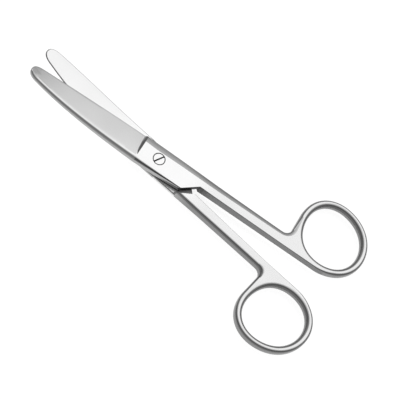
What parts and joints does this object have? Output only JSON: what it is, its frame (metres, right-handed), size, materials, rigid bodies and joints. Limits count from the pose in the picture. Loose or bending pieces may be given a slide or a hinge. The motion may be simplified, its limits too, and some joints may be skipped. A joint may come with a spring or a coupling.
{
  "type": "operating scissors",
  "caption": "Surgical scissors with upward curved blades, blunt rounded tips, a lap joint on a slotted screw and a finger ring on each handle, standing slightly open.",
  "frame": {"origin": "pivot axis at the underside of the joint, where the scissors rest", "axes": "+X from the blade tips to the finger rings, halfway between the handles; +Z along the pivot axis, the way the blades curve and the screw head faces"},
  "size_m": [0.1418, 0.0704, 0.0086],
  "materials": {
    "front_steel": "satin",
    "back_steel": "satin",
    "screw_steel": "satin"
  },
  "bodies": {
    "back": {"back_half": "back_steel", "pivot_screw": "screw_steel"},
    "front": {"front_half": "front_steel"}
  },
  "joints": [
    {"name": "pivot", "type": "hinge", "parent": "back", "child": "front", "pos_m": [0, 0, 0.0026], "axis": [0, 0, 1], "range_deg": [-9, 81]}
  ]
}
